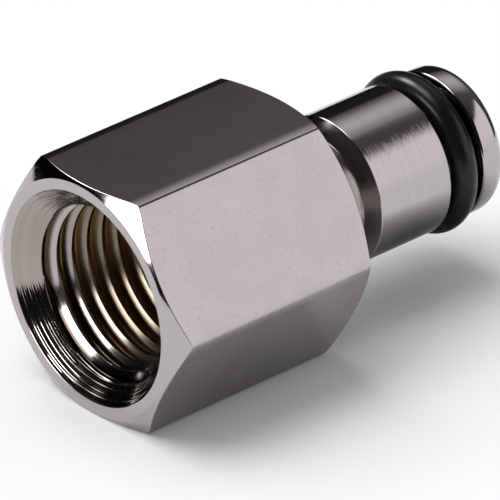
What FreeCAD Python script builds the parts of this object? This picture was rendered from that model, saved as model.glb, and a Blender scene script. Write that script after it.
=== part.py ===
import FreeCAD, Part
import os

import Sketcher

# Valved quick coupling insert. The axis is +X, from the threaded mouth at the origin to the nose tip.
# Millimetres and degrees, +Z up, with one flat of the hexagon facing down.

SIZES = [
    ("hex_across_flats", 17.46, "spanner size of the hexagon bar, 11/16 inch"),
    ("hex_length", 17.46, "mouth face to the latch groove"),
    ("hex_corner_radius", 0.5, "drawn corner of the hexagon bar"),
    ("hex_face_inset", 0.21, "end face circle inside the flats"),
    ("hex_chamfer_angle", 30, "end chamfer, from the end face"),
    ("mouth_rim_width", 0.75, "flat ring between the chamfer and the countersink"),
    ("mouth_angle", 45, "countersink wall, from the axis"),
    ("thread_minor_diameter", 11.8, "crest of the G 1/4 internal thread"),
    ("thread_depth", 10.6, "mouth face to the end of the tapped bore"),
    ("drill_half_angle", 59, "drill point at the end of the tapped bore, from the axis"),
    ("nose_diameter", 10.8, "turned nose"),
    ("nose_length", 6.31, "top of the locking wall to the seal gland"),
    ("nose_edge_break", 0.1, "broken edges of the nose and the tip"),
    ("latch_depth", 1.15, "nose to the floor of the latch groove"),
    ("latch_floor_length", 3.64, "flat length of that floor"),
    ("latch_wall_angle", 30, "locking wall of the groove, from the radial plane"),
    ("nose_seal_section", 2.0, "cord of the nose O-ring"),
    ("nose_seal_proud", 0.47, "O-ring above the nose"),
    ("nose_seal_inset", 0.55, "nose side of the gland to the O-ring"),
    ("gland_side_room", 1.03, "gland wider than the O-ring's cord"),
    ("tip_step", 0.06, "tip rim below the nose"),
    ("tip_length", 2.1, "gland to the tip face"),
    ("tip_round", 1.55, "rounded lead-in of the tip"),
    ("throat_diameter", 5.0, "flow bore in front of the valve seat"),
    ("throat_length", 6.8, "valve seat to the tip face"),
    ("edge_break", 0.3, "broken edges of the throat and the poppet"),
    ("seat_width", 0.8, "throat to valve chamber, across the 45 degree seat"),
    ("retainer_step", 0.9, "thread crest to the retainer's pocket"),
    ("shoulder_width", 0.5, "shoulder that stops the retainer"),
    ("ring_land", 0.5, "land between the drill point and the ring groove"),
    ("ring_groove_depth", 0.3, "groove of the retaining ring"),
    ("ring_groove_width", 1.1, "the same groove, along the axis"),
    ("valve_travel", 3.0, "opening stroke, from the seat to the retainer's guide"),
    ("seal_overlap", 0.38, "poppet flange wider than the throat, on the radius"),
    ("seal_proud", 0.05, "poppet seal above that flange"),
    ("seal_width", 1.1, "poppet seal and its groove, along the axis"),
    ("seal_depth", 0.55, "floor of that groove below the lip"),
    ("flange_length", 1.7, "flange behind the seal"),
    ("lip_length", 0.5, "lip in front of the seal"),
    ("lip_step", 0.15, "lip below the wings"),
    ("spigot_length", 1.0, "spigot that centres the spring on the poppet"),
    ("stem_diameter", 1.8, "rear stem of the poppet"),
    ("stem_engagement", 4.0, "closed stem inside the retainer's guide"),
    ("wing_count", 4, "guide wings of the poppet"),
    ("wing_thickness", 0.9, "each wing"),
    ("wing_root", 1.1, "where two wings meet, from the axis"),
    ("poppet_recess", 0.2, "poppet front behind the tip face"),
    ("retainer_thickness", 1.2, "spider disc"),
    ("window_margin", 0.25, "flow windows clear of the spring and the shoulder"),
    ("window_count", 4, "flow windows"),
    ("window_angle", 60, "each window, round the axis"),
    ("ring_thickness", 1.0, "retaining ring"),
    ("ring_width", 0.95, "retaining ring, across its section"),
    ("ring_gap", 2.6, "opening between its ears"),
    ("ear_diameter", 1.9, "each ear"),
    ("ear_hole_diameter", 0.9, "plier hole of each ear"),
    ("spring_wire", 0.5, "valve spring"),
    ("spring_margin", 0.43, "spring inside the edge of the flange"),
    ("spring_guide_clearance", 0.35, "spring round the guide boss and the spigot"),
    ("spring_active_turns", 4, "open turns between the closed end turns"),
    ("running_clearance", 0.1, "poppet in the throat and stem in the guide"),
    ("seal_clearance", 0.05, "poppet seal to its seat, closed"),
    ("fit_clearance", 0.04, "retainer, ring and seals in their grooves"),
]

# Radii, as expressions in the sheet's sizes.
FACE_CIRCLE = "(Sizes.hex_across_flats / 2 - Sizes.hex_face_inset)"
HEX_CORNER = "(Sizes.hex_across_flats / 2 / cos(30))"
MOUTH = f"({FACE_CIRCLE} - Sizes.mouth_rim_width)"
THREAD = "(Sizes.thread_minor_diameter / 2)"
POCKET = f"({THREAD} - Sizes.retainer_step)"
RING_GROOVE = f"({POCKET} + Sizes.ring_groove_depth)"
SHOULDER = f"({POCKET} - Sizes.shoulder_width)"
NOSE = "(Sizes.nose_diameter / 2)"
LATCH_FLOOR = f"({NOSE} - Sizes.latch_depth)"
TIP = f"({NOSE} - Sizes.tip_step)"
O_RING_CENTRE = f"({NOSE} + Sizes.nose_seal_proud - Sizes.nose_seal_section / 2)"
GLAND_ROOT = f"({O_RING_CENTRE} - Sizes.nose_seal_section / 2 - Sizes.fit_clearance)"
THROAT = "(Sizes.throat_diameter / 2)"
CHAMBER = f"({THROAT} + Sizes.seat_width)"
WING = f"({THROAT} - Sizes.running_clearance)"
LIP = f"({WING} - Sizes.lip_step)"
SEAL_FLOOR = f"({LIP} - Sizes.seal_depth)"
FLANGE = f"({THROAT} + Sizes.seal_overlap)"
SEAL = f"({FLANGE} + Sizes.seal_proud)"
STEM = "(Sizes.stem_diameter / 2)"
SPRING_OUTSIDE = f"({FLANGE} - Sizes.spring_margin)"
SPRING_MEAN = f"({SPRING_OUTSIDE} - Sizes.spring_wire / 2)"
GUIDE = f"({SPRING_OUTSIDE} - Sizes.spring_wire - Sizes.spring_guide_clearance)"

# Stations along the axis.
LATCH_FLOOR_END = "(Sizes.hex_length + Sizes.latch_floor_length)"
NOSE_START = f"({LATCH_FLOOR_END} + Sizes.latch_depth * tan(Sizes.latch_wall_angle))"
NOSE_END = f"({NOSE_START} + Sizes.nose_length)"
GLAND_END = f"({NOSE_END} + Sizes.nose_seal_section + Sizes.gland_side_room)"
TIP_END = f"({GLAND_END} + Sizes.tip_length)"
LAND_START = "(Sizes.thread_depth + Sizes.retainer_step / tan(Sizes.drill_half_angle))"
RING_GROOVE_START = f"({LAND_START} + Sizes.ring_land)"
RETAINER_REAR = f"({RING_GROOVE_START} + Sizes.ring_groove_width)"
RETAINER_FRONT = f"({RETAINER_REAR} + Sizes.retainer_thickness)"
LEAD_IN_END = f"({RETAINER_FRONT} + {SHOULDER} - {CHAMBER})"
SEAT_END = f"({TIP_END} - Sizes.throat_length)"
SEAT_START = f"({SEAT_END} - Sizes.seat_width)"

# On the 45 degree seat the station and the radius add up to one sum, and the seal's face lies a clearance
# off it. The closed poppet takes its place from that face, and the guide stops it at full stroke.
SEAL_FACE_SUM = f"({SEAT_START} + {CHAMBER} - sqrt(2) * Sizes.seal_clearance)"
SEAL_FRONT = f"({SEAL_FACE_SUM} - {LIP})"
SEAL_REAR = f"({SEAL_FRONT} - Sizes.seal_width)"
FLANGE_REAR = f"({SEAL_REAR} - Sizes.flange_length)"
SPIGOT_REAR = f"({FLANGE_REAR} - Sizes.spigot_length)"
WING_START = f"({SEAL_FRONT} + Sizes.lip_length)"
POPPET_FRONT = f"({TIP_END} - Sizes.poppet_recess)"
GUIDE_FRONT = f"({SPIGOT_REAR} - Sizes.valve_travel - Sizes.fit_clearance)"
STEM_REAR = f"({GUIDE_FRONT} - Sizes.stem_engagement)"

# The spring's round wire is drawn with this many sides, which keeps its facets few.
WIRE_SIDES = 8

# Edges are told apart by their place to within this much.
TOLERANCE = 1e-4

doc = FreeCAD.newDocument("quick_coupling_insert")
sheet = doc.addObject("Spreadsheet::Sheet", "Sizes")
for row, (alias, size, note) in enumerate(SIZES, start=1):
    sheet.set(f"A{row}", str(size))
    sheet.setAlias(f"A{row}", alias)
    sheet.set(f"B{row}", note)
doc.recompute()


def value(expression):
    """Present value of an expression, in millimetres or degrees."""
    result = sheet.evalExpression(expression)
    return float(getattr(result, "Value", result))


def new_body(name):
    """Empty body whose label names the node."""
    body = doc.addObject("PartDesign::Body", name)
    body.Label = name
    return body


def new_sketch(body, name, plane, offset=None):
    """Sketch on one of the body's own origin planes, set off along its normal if asked."""
    sketch = body.newObject("Sketcher::SketchObject", name)
    support = next(item for item in body.Origin.OriginFeatures if item.Role == plane)
    sketch.AttachmentSupport = [(support, "")]
    sketch.MapMode = "FlatFace"
    if offset:
        sketch.setExpression("AttachmentOffset.Base.z", offset)
    return sketch


def bind(sketch, constraint, expression):
    """Add a dimension to a sketch and tie it to the sheet."""
    index = sketch.addConstraint(constraint)
    sketch.setExpression(f"Constraints[{index}]", expression)


def place_point(sketch, geometry, end, expressions):
    """Tie one end of a line to its two coordinates; "0" puts it on the axis itself."""
    for kind, axis, expression in zip(("DistanceX", "DistanceY"), (-2, -1), expressions):
        if expression == "0":
            sketch.addConstraint(Sketcher.Constraint("PointOnObject", geometry, end, axis))
        else:
            bind(sketch, Sketcher.Constraint(kind, -1, 1, geometry, end, value(expression)), expression)


def outline(sketch, corners):
    """Closed straight-sided outline through corners given as pairs of expressions."""
    points = [FreeCAD.Vector(value(across), value(up), 0) for across, up in corners]
    first = sketch.GeometryCount
    count = len(points)
    for index, point in enumerate(points):
        sketch.addGeometry(Part.LineSegment(point, points[(index + 1) % count]), False)
    for index in range(count):
        following = first + (index + 1) % count
        sketch.addConstraint(Sketcher.Constraint("Coincident", first + index, 2, following, 1))
    for index, corner in enumerate(corners):
        place_point(sketch, first + index, 1, corner)


def circle(sketch, diameter, centre=("0", "0")):
    """Circle tied to the sheet by its diameter and centre."""
    middle = FreeCAD.Vector(value(centre[0]), value(centre[1]), 0)
    index = sketch.addGeometry(Part.Circle(middle, FreeCAD.Vector(0, 0, 1), value(diameter) / 2), False)
    place_point(sketch, index, 3, centre)
    bind(sketch, Sketcher.Constraint("Diameter", index, value(diameter)), diameter)


def turned(body, kind, name, corners, angle="360"):
    """Revolution or Groove about the axis, from corners given as (station, radius)."""
    sketch = new_sketch(body, f"{name}_outline", "XY_Plane")
    outline(sketch, corners)
    feature = body.newObject(f"PartDesign::{kind}", name)
    feature.Profile = sketch
    feature.ReferenceAxis = (sketch, ["H_Axis"])
    feature.Midplane = True
    feature.setExpression("Angle", angle)
    doc.recompute()
    return feature


def patterned(body, original, name, count):
    """Copies of a feature, evenly round the axis."""
    pattern = body.newObject("PartDesign::PolarPattern", name)
    pattern.Originals = [original]
    pattern.Axis = (original.Profile[0], ["H_Axis" if original.TypeId.endswith("Groove") else "N_Axis"])
    pattern.Angle = 360
    pattern.setExpression("Occurrences", count)
    body.Tip = pattern
    doc.recompute()
    return pattern


def extruded(body, kind, sketch, name, length, reverse=False):
    """Pad or Pocket of a sketch."""
    feature = body.newObject(f"PartDesign::{kind}", name)
    feature.Profile = sketch
    feature.Reversed = reverse
    feature.setExpression("Length", length)
    doc.recompute()
    return feature


def circular_edges(shape, station, radius):
    """Names of the full circles of one radius about the axis at one station."""
    names = []
    for number, edge in enumerate(shape.Edges, start=1):
        centred = isinstance(edge.Curve, Part.Circle) and abs(edge.Curve.Center.x - station) < TOLERANCE
        if centred and abs(edge.Curve.Radius - radius) < TOLERANCE:
            names.append(f"Edge{number}")
    return names


def regular_polygon(sketch, sides, corner_diameter, centre=("0", "0")):
    """Regular polygon in a construction circle, with its first corner level with the centre."""
    middle = FreeCAD.Vector(value(centre[0]), value(centre[1]), 0)
    radius = value(corner_diameter) / 2
    rim = sketch.addGeometry(Part.Circle(middle, FreeCAD.Vector(0, 0, 1), radius), True)
    place_point(sketch, rim, 3, centre)
    bind(sketch, Sketcher.Constraint("Diameter", rim, value(corner_diameter)), corner_diameter)
    turn = FreeCAD.Rotation(FreeCAD.Vector(0, 0, 1), 360 / sides)
    spoke = FreeCAD.Vector(radius, 0, 0)
    edges = []
    for _ in range(sides):
        following = turn.multVec(spoke)
        edges.append(sketch.addGeometry(Part.LineSegment(middle + spoke, middle + following), False))
        spoke = following
    for index, edge in enumerate(edges):
        sketch.addConstraint(Sketcher.Constraint("Coincident", edge, 2, edges[(index + 1) % sides], 1))
        sketch.addConstraint(Sketcher.Constraint("PointOnObject", edge, 1, rim))
    for edge in edges[1:]:
        sketch.addConstraint(Sketcher.Constraint("Equal", edges[0], edge))
    sketch.addConstraint(Sketcher.Constraint("Horizontal", rim, 3, edges[0], 1))


def make_insert_body():
    """Body turned from hexagon bar: threaded port, latch groove, nose, seal gland and valve bore."""
    body = new_body("insert_body")
    bar = new_sketch(body, "hexagon_bar", "YZ_Plane")
    regular_polygon(bar, 6, f"2 * {HEX_CORNER}")
    extruded(body, "Pad", bar, "hexagon", "Sizes.hex_length")
    round_corners(body)
    chamfer_ends(body)
    edge_break = "Sizes.nose_edge_break"
    turned(body, "Revolution", "nose", [
        ("0", "0"),
        ("0", LATCH_FLOOR),
        (LATCH_FLOOR_END, LATCH_FLOOR),
        (f"{NOSE_START} - {edge_break} * tan(Sizes.latch_wall_angle)", f"{NOSE} - {edge_break}"),
        (f"{NOSE_START} + {edge_break}", NOSE),
        (f"{NOSE_END} - {edge_break}", NOSE),
        (NOSE_END, f"{NOSE} - {edge_break}"),
        (NOSE_END, GLAND_ROOT),
        (GLAND_END, GLAND_ROOT),
        (GLAND_END, f"{TIP} - {edge_break}"),
        (f"{GLAND_END} + {edge_break}", TIP),
        (TIP_END, TIP),
        (TIP_END, "0"),
    ])
    round_tip(body)
    turned(body, "Groove", "valve_bore", [
        ("0", "0"),
        ("0", MOUTH),
        (f"({MOUTH} - {THREAD}) / tan(Sizes.mouth_angle)", THREAD),
        ("Sizes.thread_depth", THREAD),
        (LAND_START, POCKET),
        (RING_GROOVE_START, POCKET),
        (RING_GROOVE_START, RING_GROOVE),
        (RETAINER_REAR, RING_GROOVE),
        (RETAINER_REAR, POCKET),
        (RETAINER_FRONT, POCKET),
        (RETAINER_FRONT, SHOULDER),
        (LEAD_IN_END, CHAMBER),
        (SEAT_START, CHAMBER),
        (SEAT_END, THROAT),
        (f"{TIP_END} - Sizes.edge_break", THROAT),
        (TIP_END, f"{THROAT} + Sizes.edge_break"),
        (TIP_END, "0"),
    ])
    return body


def round_corners(body):
    """Drawn corners along the six edges of the bar."""
    bar = body.Tip
    names = []
    for number, edge in enumerate(bar.Shape.Edges, start=1):
        along = edge.Vertexes[1].Point - edge.Vertexes[0].Point
        if abs(along.x) > TOLERANCE:
            names.append(f"Edge{number}")
    fillet = body.newObject("PartDesign::Fillet", "bar_corners")
    fillet.Base = (bar, names)
    fillet.setExpression("Radius", "Sizes.hex_corner_radius")
    doc.recompute()


def chamfer_ends(body):
    """Turned chamfers that leave a round face on each end of the hexagon."""
    depth = f"(({HEX_CORNER} - {FACE_CIRCLE}) * tan(Sizes.hex_chamfer_angle))"
    turned(body, "Groove", "mouth_chamfer", [
        ("0", FACE_CIRCLE),
        (depth, HEX_CORNER),
        ("0", HEX_CORNER),
    ])
    turned(body, "Groove", "latch_chamfer", [
        ("Sizes.hex_length", FACE_CIRCLE),
        ("Sizes.hex_length", HEX_CORNER),
        (f"Sizes.hex_length - {depth}", HEX_CORNER),
    ])


def round_tip(body):
    """Rounded lead-in that carries the nose into its socket."""
    base = body.Tip
    fillet = body.newObject("PartDesign::Fillet", "tip_lead_in")
    fillet.Base = (base, circular_edges(base.Shape, value(TIP_END), value(TIP)))
    fillet.setExpression("Radius", "Sizes.tip_round")
    doc.recompute()


def make_nose_o_ring():
    """O-ring in the nose gland."""
    seal = doc.addObject("Part::Torus", "nose_o_ring")
    seal.Label = "nose_o_ring"
    seal.setExpression("Radius1", O_RING_CENTRE)
    seal.setExpression("Radius2", "Sizes.nose_seal_section / 2")
    seal.Placement = FreeCAD.Placement(FreeCAD.Vector(), FreeCAD.Rotation(FreeCAD.Vector(0, 1, 0), 90))
    station = f"{NOSE_END} + Sizes.nose_seal_inset + Sizes.nose_seal_section / 2"
    seal.setExpression("Placement.Base.x", station)
    return seal


def make_valve_poppet():
    """Poppet: stem, spring spigot, flange, seal groove, lip and a winged guide in the throat."""
    body = new_body("valve_poppet")
    turned(body, "Revolution", "poppet", [
        (STEM_REAR, "0"),
        (STEM_REAR, f"{STEM} - Sizes.edge_break"),
        (f"{STEM_REAR} + Sizes.edge_break", STEM),
        (SPIGOT_REAR, STEM),
        (SPIGOT_REAR, GUIDE),
        (FLANGE_REAR, GUIDE),
        (FLANGE_REAR, FLANGE),
        (SEAL_REAR, FLANGE),
        (SEAL_REAR, SEAL_FLOOR),
        (SEAL_FRONT, SEAL_FLOOR),
        (SEAL_FRONT, LIP),
        (WING_START, LIP),
        (WING_START, WING),
        (f"{POPPET_FRONT} - Sizes.edge_break", WING),
        (POPPET_FRONT, f"{WING} - Sizes.edge_break"),
        (POPPET_FRONT, "0"),
    ])
    side = "Sizes.wing_thickness / 2"
    beyond = "Sizes.throat_diameter"
    notch_outline = new_sketch(body, "notch_outline", "YZ_Plane", WING_START)
    outline(notch_outline, [
        ("Sizes.wing_root", side),
        (beyond, side),
        (beyond, beyond),
        (side, beyond),
        (side, "Sizes.wing_root"),
    ])
    notch = extruded(body, "Pocket", notch_outline, "notch", f"{POPPET_FRONT} - {WING_START}", reverse=True)
    patterned(body, notch, "notches", "Sizes.wing_count")
    return body


def make_poppet_seal():
    """Moulded ring in the poppet's groove, with a 45 degree face for the seat."""
    body = new_body("poppet_seal")
    inside = f"{SEAL_FLOOR} + Sizes.fit_clearance"
    turned(body, "Revolution", "seal", [
        (SEAL_REAR, inside),
        (SEAL_REAR, SEAL),
        (f"{SEAL_FACE_SUM} - {SEAL}", SEAL),
        (SEAL_FRONT, LIP),
        (SEAL_FRONT, inside),
    ])
    return body


def make_spring_retainer():
    """Spider disc with a guide boss for the stem and windows for the flow."""
    body = new_body("spring_retainer")
    rim = f"{POCKET} - Sizes.fit_clearance"
    hole = f"{STEM} + Sizes.running_clearance"
    turned(body, "Revolution", "spider", [
        (RETAINER_REAR, hole),
        (RETAINER_REAR, rim),
        (RETAINER_FRONT, rim),
        (RETAINER_FRONT, GUIDE),
        (GUIDE_FRONT, GUIDE),
        (GUIDE_FRONT, hole),
    ])
    inside = f"{SPRING_OUTSIDE} + Sizes.window_margin"
    outside = f"{SHOULDER} - Sizes.window_margin"
    window = turned(body, "Groove", "window", [
        (RETAINER_REAR, inside),
        (RETAINER_REAR, outside),
        (RETAINER_FRONT, outside),
        (RETAINER_FRONT, inside),
    ], "Sizes.window_angle")
    patterned(body, window, "windows", "Sizes.window_count")
    return body


def make_retaining_ring():
    """Sprung internal ring with two plier ears, in the groove behind the retainer."""
    body = new_body("retaining_ring")
    rear = f"{RETAINER_REAR} - Sizes.ring_thickness"
    outside = f"({RING_GROOVE} - Sizes.fit_clearance)"
    inside = f"({outside} - Sizes.ring_width)"
    ring = new_sketch(body, "ring_outline", "YZ_Plane", rear)
    circle(ring, f"2 * {outside}")
    circle(ring, f"2 * {inside}")
    extruded(body, "Pad", ring, "ring", "Sizes.ring_thickness")
    half_gap = "Sizes.ring_gap / 2"
    gap = new_sketch(body, "gap_outline", "YZ_Plane", rear)
    outline(gap, [
        (f"0 - {half_gap}", "0"),
        (half_gap, "0"),
        (half_gap, f"2 * {outside}"),
        (f"0 - {half_gap}", f"2 * {outside}"),
    ])
    extruded(body, "Pocket", gap, "gap", "Sizes.ring_thickness", reverse=True)
    across = f"({half_gap} + Sizes.ear_diameter / 2)"
    height = f"(sqrt(pow({inside}; 2) - pow({across}; 2)) - Sizes.ear_diameter / 4)"
    sides = (("left", f"0 - {across}"), ("right", across))
    for kind, word, diameter in (
        ("Pad", "ear", "Sizes.ear_diameter"),
        ("Pocket", "hole", "Sizes.ear_hole_diameter"),
    ):
        for side, place in sides:
            sketch = new_sketch(body, f"{side}_{word}_outline", "YZ_Plane", rear)
            circle(sketch, diameter, (place, height))
            extruded(body, kind, sketch, f"{side}_{word}", "Sizes.ring_thickness", reverse=kind == "Pocket")
    return body


def make_valve_spring():
    """Compression spring with a closed turn at each end, ground flat."""
    body = new_body("valve_spring")
    closed_pitch = "(Sizes.spring_wire + Sizes.fit_clearance)"
    front = f"({FLANGE_REAR} - Sizes.fit_clearance)"
    open_start = f"({RETAINER_FRONT} + {closed_pitch})"
    open_end = f"({front} - {closed_pitch})"
    turns = [
        ("rear_turn", RETAINER_FRONT, closed_pitch, "1"),
        ("open_turns", open_start, f"{open_end} - {open_start}", "Sizes.spring_active_turns"),
        ("front_turn", open_end, closed_pitch, "1"),
    ]
    for name, start, height, count in turns:
        wire = new_sketch(body, f"{name}_wire", "XY_Plane")
        regular_polygon(wire, WIRE_SIDES, "Sizes.spring_wire", (start, SPRING_MEAN))
        coil = body.newObject("PartDesign::AdditiveHelix", name)
        coil.Profile = wire
        coil.ReferenceAxis = (wire, ["H_Axis"])
        coil.Mode = "height-turns-angle"
        coil.setExpression("Height", height)
        coil.setExpression("Turns", count)
        doc.recompute()
    reach = f"{SPRING_OUTSIDE} + Sizes.spring_wire"
    for name, face, beyond in (
        ("rear_grind", RETAINER_FRONT, f"{RETAINER_FRONT} - Sizes.spring_wire"),
        ("front_grind", front, f"{front} + Sizes.spring_wire"),
    ):
        turned(body, "Groove", name, [(beyond, "0"), (beyond, reach), (face, reach), (face, "0")])
    return body


NODES = [
    make_insert_body(),
    make_nose_o_ring(),
    make_valve_poppet(),
    make_poppet_seal(),
    make_valve_spring(),
    make_spring_retainer(),
    make_retaining_ring(),
]
doc.recompute()

for item in doc.Objects:
    if {"Invalid", "Error"} & set(item.State):
        raise RuntimeError(f"{item.Label} did not build: {item.State}")
for node in NODES:
    if node.Shape.isNull() or not node.Shape.isValid() or len(node.Shape.Solids) != 1:
        raise RuntimeError(f"{node.Label} is not one valid solid")

os.makedirs("parts", exist_ok=True)
for node in NODES:
    node.Shape.exportStep(f"parts/{node.Label}.step")
    box = node.Shape.BoundBox
    print(f"{node.Label}: {node.Shape.Volume:.2f} mm3, x {box.XMin:.3f} to {box.XMax:.3f}")
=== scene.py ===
import math

import bmesh
import bpy
from mathutils import Matrix, Vector


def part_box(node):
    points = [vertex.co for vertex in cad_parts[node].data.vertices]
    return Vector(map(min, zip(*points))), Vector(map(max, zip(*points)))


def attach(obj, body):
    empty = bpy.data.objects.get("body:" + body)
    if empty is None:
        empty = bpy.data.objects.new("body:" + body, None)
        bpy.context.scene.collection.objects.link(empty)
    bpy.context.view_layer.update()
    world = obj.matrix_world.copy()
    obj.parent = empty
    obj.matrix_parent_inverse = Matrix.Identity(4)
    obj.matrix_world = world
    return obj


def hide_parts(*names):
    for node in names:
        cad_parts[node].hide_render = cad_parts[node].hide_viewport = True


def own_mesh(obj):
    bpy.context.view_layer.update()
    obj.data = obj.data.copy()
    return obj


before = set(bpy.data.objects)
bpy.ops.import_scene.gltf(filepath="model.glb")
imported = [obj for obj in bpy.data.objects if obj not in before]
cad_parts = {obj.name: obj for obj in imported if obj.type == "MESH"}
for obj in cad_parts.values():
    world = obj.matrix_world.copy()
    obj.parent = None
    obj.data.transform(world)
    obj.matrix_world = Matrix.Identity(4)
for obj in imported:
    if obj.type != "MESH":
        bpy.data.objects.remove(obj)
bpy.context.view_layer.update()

bl_info = {
    "name": "Quick coupling insert",
    "version": (1, 0, 0),
    "blender": (4, 5, 0),
    "location": "View3D > Sidebar > Coupling",
    "description": "Finishes a valved quick coupling insert around its CAD frame",
    "category": "Object",
}

MM = 0.001
FULL_TURN = 2 * math.pi
HEX_SIDES = 6

# Distances under which two points, or a point and the countersink's cone, count as one.
WELD_REACH = 1e-7
CONE_REACH = 1e-8

# Ranges that the noise of the tool's rings and of a slow unevenness really covers.
RING_RANGE = 0.25, 0.75
SLOW_RANGE = 0.3, 0.7

# Finishes of the body, in the order of its materials.
TURNED, FLATS, BORE, SINK, GROOVE, NOSE = range(6)

# Corners of the body's outline, counted from the countersink, where a finish begins.
FLAT_CORNER, GROOVE_CORNER, NOSE_CORNER, THROAT_CORNER = 3, 5, 8, 15

# What the frame gives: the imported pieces' own boxes.
BODY_LOW, BODY_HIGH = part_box("insert_body")
O_RING_LOW, O_RING_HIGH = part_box("nose_o_ring")
POPPET_LOW, POPPET_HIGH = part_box("valve_poppet")
SEAL_LOW, SEAL_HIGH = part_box("poppet_seal")
SPRING_LOW, SPRING_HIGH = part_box("valve_spring")
RETAINER_LOW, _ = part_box("spring_retainer")


def length(name, description, default):
    """Property for a size in metres."""
    return bpy.props.FloatProperty(name=name, description=description, default=default, unit="LENGTH")


def angle(name, description, degrees):
    """Property for an angle."""
    return bpy.props.FloatProperty(
        name=name, description=description, default=math.radians(degrees), unit="ROTATION"
    )


def colour(name, description, default):
    """Property for a colour."""
    return bpy.props.FloatVectorProperty(
        name=name, description=description, default=default, size=3, subtype="COLOR", min=0, max=1
    )


def factor(name, description, default):
    """Property for a plain number."""
    return bpy.props.FloatProperty(name=name, description=description, default=default, min=0)


def place(name, description, default):
    """Property for a point in metres."""
    return bpy.props.FloatVectorProperty(
        name=name, description=description, default=default, size=3, subtype="TRANSLATION", unit="LENGTH"
    )


def direction(name, description, default):
    """Property for the way from the part to a lamp or a card."""
    return bpy.props.FloatVectorProperty(
        name=name, description=description, default=default, size=3, subtype="DIRECTION"
    )


class InsertBodySizes(bpy.types.PropertyGroup):
    """Sizes of the plated body, along and around its axis."""

    apothem: length("Flat radius", "Axis to a flat of the hexagon", BODY_HIGH.z)
    hex_length: length("Hexagon length", "Mouth face to the latch groove", 17.46 * MM)
    buffed_radius: length("Buffed edge", "Soft rounding beside each corner of the bar", 4.8 * MM)
    buffed_angle: angle("Buffed turn", "How far that rounding turns", 9)
    corner_radius: length("Corner", "Tight rounding of each corner of the bar", 0.35 * MM)
    face_inset: length("Face inset", "End face circle inside the flats", 0.21 * MM)
    chamfer_angle: angle("Chamfer", "End chamfer, from the end face", 30)
    edge_round: length("Edge round", "Rounding of the turned edges", 0.06 * MM)
    mouth_rim: length("Mouth rim", "End face between the chamfer and the countersink", 0.75 * MM)
    thread_radius: length("Thread crest", "Axis to the crest of the thread", 5.9 * MM)
    thread_pitch: length("Thread pitch", "One turn of the thread", 1.337 * MM)
    thread_depth: length("Thread height", "Crest to root of the thread", 0.68 * MM)
    thread_root: length("Thread root", "Rounding of the thread's root", 0.2 * MM)
    thread_flank: angle("Thread flank", "Flank of the thread, from the radial plane", 34)
    thread_start: angle("Thread start", "Turn of the thread about the axis", -32)
    thread_end: length("Thread end", "Mouth face to the end of the tapped bore", 10.6 * MM)
    floor_radius: length("Groove floor", "Axis to the floor of the latch groove", 4.25 * MM)
    floor_length: length("Groove length", "Flat length of that floor", 3.64 * MM)
    wall_angle: angle("Locking wall", "Wall of the groove, from the radial plane", 30)
    nose_radius: length("Nose", "Axis to the turned nose", 5.4 * MM)
    nose_length: length("Nose length", "Top of the locking wall to the gland", 6.31 * MM)
    nose_edge: length("Nose edge", "Rounding of the nose's edges", 0.1 * MM)
    gland_width: length("Gland", "Seal gland, along the axis", 3.03 * MM)
    gland_radius: length("Gland root", "Axis to the floor of the gland", 3.83 * MM)
    tip_radius: length("Tip", "Axis to the rim of the tip", 5.34 * MM)
    tip_rim: length("Tip rim", "Rounding of the tip's rim beside the gland", 0.2 * MM)
    tip_round: length("Tip round", "Rounded lead-in of the tip", 1.55 * MM)
    throat_radius: length("Throat", "Axis to the flow bore", 2.5 * MM)
    throat_length: length("Throat length", "Valve seat to the tip face", 6.8 * MM)
    throat_break: length("Throat edge", "Broken edge of the throat", 0.3 * MM)
    chamber_radius: length("Chamber", "Axis to the valve chamber", 3.3 * MM)
    shoulder_radius: length("Shoulder", "Axis to the shoulder that stops the retainer", 4.5 * MM)
    pocket_radius: length("Pocket", "Axis to the retainer's pocket", 5.0 * MM)
    ring_groove_radius: length("Ring groove", "Axis to the floor of the ring groove", 5.3 * MM)
    ring_groove_width: length("Ring groove width", "Ring groove, along the axis", 1.1 * MM)
    ring_land: length("Ring land", "Drill point to the ring groove", 0.5 * MM)


class ValveSizes(bpy.types.PropertyGroup):
    """Sizes of the poppet, its seal, its spring and what holds them."""

    stem_radius: length("Stem", "Axis to the rear stem", 0.9 * MM)
    spigot_radius: length("Spigot", "Axis to the spigot inside the spring", 1.6 * MM)
    spigot_length: length("Spigot length", "Spigot behind the flange", 1.0 * MM)
    flange_length: length("Flange", "Flange behind the seal", 1.7 * MM)
    seal_floor: length("Seal floor", "Axis to the floor of the seal's groove", 1.7 * MM)
    lip_radius: length("Lip", "Axis to the lip in front of the seal", 2.25 * MM)
    lip_length: length("Lip length", "Lip in front of the seal", 0.5 * MM)
    wing_radius: length("Wing reach", "Axis to the outer edge of a wing", 2.4 * MM)
    wing_thickness: length("Wing thickness", "Each wing of the guide", 0.9 * MM)
    wing_root: length("Wing root", "Axis to the round root between two wings", 1.2445 * MM)
    edge_round: length("Moulded edge", "Rounding of the moulded edges", 0.08 * MM)
    front_round: length("Front edge", "Rounding of the poppet's front", 0.3 * MM)
    wire_radius: length("Spring wire", "Half the spring's wire", 0.25 * MM)
    closed_pitch: length("Closed turn", "Pitch of the spring's end turns", 0.54 * MM)
    active_turns: bpy.props.IntProperty(
        name="Active turns", description="Open turns of the spring", default=4
    )
    broken_edge: length("Broken edge", "Bevel on the retainer and its ring", 0.06 * MM)


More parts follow.
